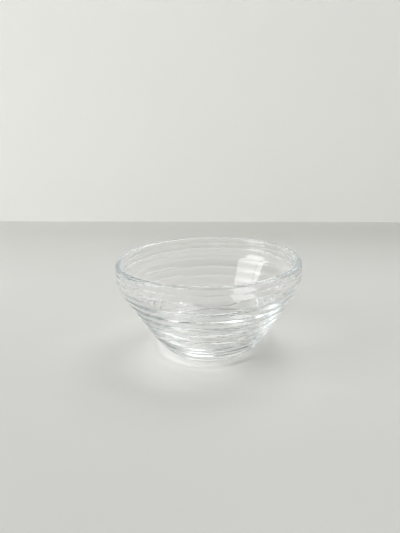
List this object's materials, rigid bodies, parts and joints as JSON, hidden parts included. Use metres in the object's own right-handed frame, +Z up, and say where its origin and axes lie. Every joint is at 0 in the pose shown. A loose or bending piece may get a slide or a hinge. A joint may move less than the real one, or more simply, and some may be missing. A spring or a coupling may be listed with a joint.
{
  "type": "prep bowl",
  "caption": "Small clear pressed-glass bowl with a low foot, a flared wall ringed outside with rounded bands, a steep grooved collar and a rounded rim; smooth inside.",
  "frame": {"origin": "centre of the foot, on the table", "axes": "+Z up along the bowl's axis; the bowl is round, so X and Y are free"},
  "size_m": [0.09, 0.09, 0.044],
  "materials": {
    "clear_glass": "clear, fire-polished"
  },
  "bodies": {
    "root": {"bowl": "clear_glass"}
  },
  "joints": []
}
